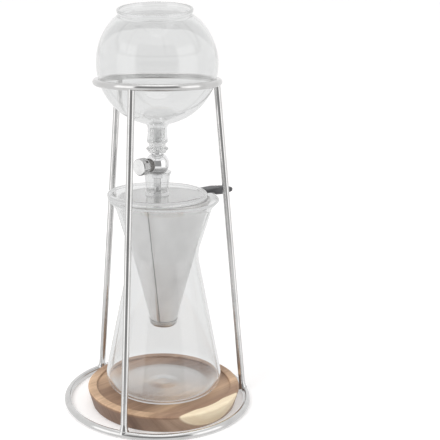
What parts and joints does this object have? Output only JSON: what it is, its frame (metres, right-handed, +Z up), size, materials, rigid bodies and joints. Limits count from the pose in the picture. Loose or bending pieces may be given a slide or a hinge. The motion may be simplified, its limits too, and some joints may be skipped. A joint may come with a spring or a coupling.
{
  "type": "cold drip coffee tower",
  "caption": "Table-top cold drip coffee tower: glass water globe with a needle tap in a wire stand, over a lidded cone filter in an hourglass carafe on a wood base.",
  "frame": {"origin": "on the table, on the vertical axis of the stand's two rings", "axes": "+Z up, -Y is the front, +X is the right-hand side seen from the front"},
  "size_m": [0.177, 0.177, 0.3708],
  "materials": {
    "stand_wire": "satin drawn steel wire",
    "globe_glass": "clear blown glass",
    "carafe_glass": "clear blown glass",
    "stopper_silicone": "translucent silicone",
    "tap_chrome": "polished",
    "nut_steel": "dark knurled steel",
    "knob_steel": "satin, knurled side",
    "seat_brass": "turned",
    "gland_plastic": "matt",
    "seal_rubber": "matt black",
    "tube_steel": "satin",
    "lid_clear": "clear moulded",
    "filter_steel": "fine mesh",
    "sleeve_silicone": "matt charcoal",
    "base_wood": "oiled walnut"
  },
  "bodies": {
    "base": {"wood_base": "base_wood"},
    "stand": {"base_ring": "stand_wire", "top_ring": "stand_wire", "front_leg": "stand_wire", "right_leg": "stand_wire", "rear_leg": "stand_wire"},
    "globe": {"water_globe": "globe_glass", "neck_stopper": "stopper_silicone"},
    "tap": {"valve_body": "tap_chrome", "seat_insert": "seat_brass", "drip_tube": "tube_steel", "bonnet_nut": "nut_steel", "gland_washer": "gland_plastic"},
    "seal": {"stem_o_ring": "seal_rubber"},
    "knob": {"valve_knob": "knob_steel", "knob_set_screw": "nut_steel", "needle_stem": "tube_steel"},
    "carafe": {"carafe": "carafe_glass"},
    "filter": {"filter_outer_cone": "filter_steel", "filter_inner_mesh": "filter_steel", "filter_rim": "filter_steel", "filter_tip_cap": "filter_steel", "handle_tab": "filter_steel", "handle_sleeve": "sleeve_silicone"},
    "lid": {"drip_lid": "lid_clear"}
  },
  "joints": [
    {"name": "frame_lift", "type": "slide", "parent": "base", "child": "stand", "axis": [0, 0, 1], "range_m": [0, 0.3]},
    {"name": "globe_lift", "type": "slide", "parent": "stand", "child": "globe", "axis": [0, 0, 1], "range_m": [0, 0.13]},
    {"name": "tap_turn", "type": "hinge", "parent": "globe", "child": "tap", "pos_m": [0, 0, 0.22808], "axis": [0, 0, 1], "continuous": true},
    {"name": "needle_travel", "type": "slide", "parent": "tap", "child": "seal", "axis": [-0.682, -0.7314, 0], "range_m": [0, 0.0015]},
    {"name": "knob_turn", "type": "hinge", "parent": "seal", "child": "knob", "pos_m": [0, 0, 0.22808], "axis": [-0.682, -0.7314, 0], "range_deg": [0, 720]},
    {"name": "carafe_lift", "type": "slide", "parent": "base", "child": "carafe", "axis": [0, 0, 1], "range_m": [0, 0.03]},
    {"name": "filter_lift", "type": "slide", "parent": "carafe", "child": "filter", "axis": [0, 0, 1], "range_m": [0, 0.13]},
    {"name": "lid_lift", "type": "slide", "parent": "filter", "child": "lid", "axis": [0, 0, 1], "range_m": [0, 0.04]}
  ],
  "couplings": [
    {"joint": "knob_turn", "follows": "needle_travel", "rad_per_m": 8377.6},
    {"joint": "carafe_lift", "follows": "frame_lift", "ratio": 0.1},
    {"joint": "filter_lift", "follows": "frame_lift", "ratio": 0.43333},
    {"joint": "lid_lift", "follows": "frame_lift", "ratio": 0.13333}
  ]
}
